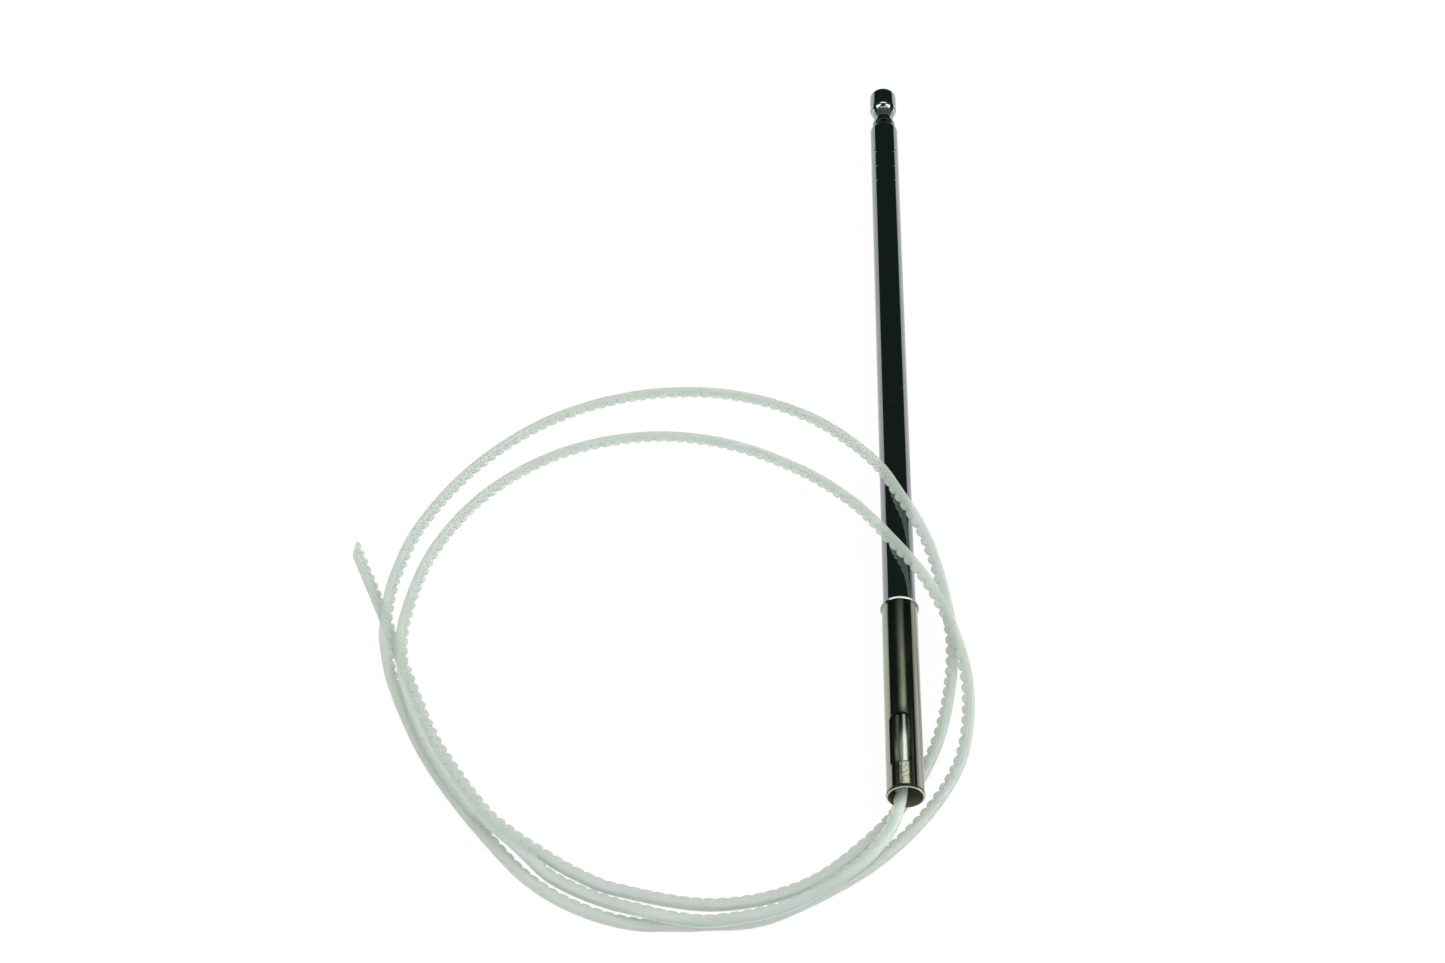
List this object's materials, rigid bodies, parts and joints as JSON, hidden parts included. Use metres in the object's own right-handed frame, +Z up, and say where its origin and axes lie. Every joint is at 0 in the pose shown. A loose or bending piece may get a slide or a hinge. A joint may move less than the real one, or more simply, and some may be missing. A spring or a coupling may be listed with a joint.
{
  "type": "telescopic mast with drive cord",
  "caption": "Closed telescopic metal mast with a plated contact sleeve and spring tongue at its foot, a turned tip cap, and a loose toothed nylon drive cord leaving the sleeve in open turns.",
  "frame": {"origin": "on the table under the middle of the closed mast, without its cord", "axes": "+Y along the mast from the sleeve's mouth to the tip cap, +Z up from the table, +X to the right seen from the mouth"},
  "size_m": [0.1748, 0.3239, 0.0147],
  "materials": {
    "tube_chrome": "polished chrome plate",
    "sleeve_nickel": "warm nickel plate, lightly rubbed",
    "cap_chrome": "polished chrome plate",
    "rod_steel": "ground stainless steel",
    "ring_brass": "turned brass",
    "spring_bronze": "rolled phosphor bronze strip",
    "cord_nylon": "translucent moulded nylon"
  },
  "bodies": {
    "base": {"contact_sleeve": "sleeve_nickel", "outer_tube": "tube_chrome", "foot_bush": "ring_brass", "drive_cord": "cord_nylon"},
    "section_2": {"section_2_tube": "tube_chrome", "section_2_foot_ring": "ring_brass", "section_2_spring": "spring_bronze", "section_2_stop_ring": "ring_brass"},
    "section_3": {"section_3_tube": "tube_chrome", "section_3_foot_ring": "ring_brass", "section_3_spring": "spring_bronze", "section_3_stop_ring": "ring_brass"},
    "section_4": {"section_4_tube": "tube_chrome", "section_4_foot_ring": "ring_brass", "section_4_spring": "spring_bronze", "section_4_stop_ring": "ring_brass"},
    "tip": {"tip_rod": "rod_steel", "rod_foot_ring": "ring_brass", "rod_spring": "spring_bronze", "rod_stop_ring": "ring_brass", "cord_ferrule": "ring_brass", "cord_tail": "cord_nylon", "tip_cap": "cap_chrome"}
  },
  "joints": [
    {"name": "section_2_slide", "type": "slide", "parent": "base", "child": "section_2", "axis": [0, 0.9999, -0.013], "range_m": [0, 0.22]},
    {"name": "section_3_slide", "type": "slide", "parent": "section_2", "child": "section_3", "axis": [0, 0.9999, -0.013], "range_m": [0, 0.22]},
    {"name": "section_4_slide", "type": "slide", "parent": "section_3", "child": "section_4", "axis": [0, 0.9999, -0.013], "range_m": [0, 0.22]},
    {"name": "tip_slide", "type": "slide", "parent": "section_4", "child": "tip", "axis": [0, 0.9999, -0.013], "range_m": [0, 0.22]}
  ]
}
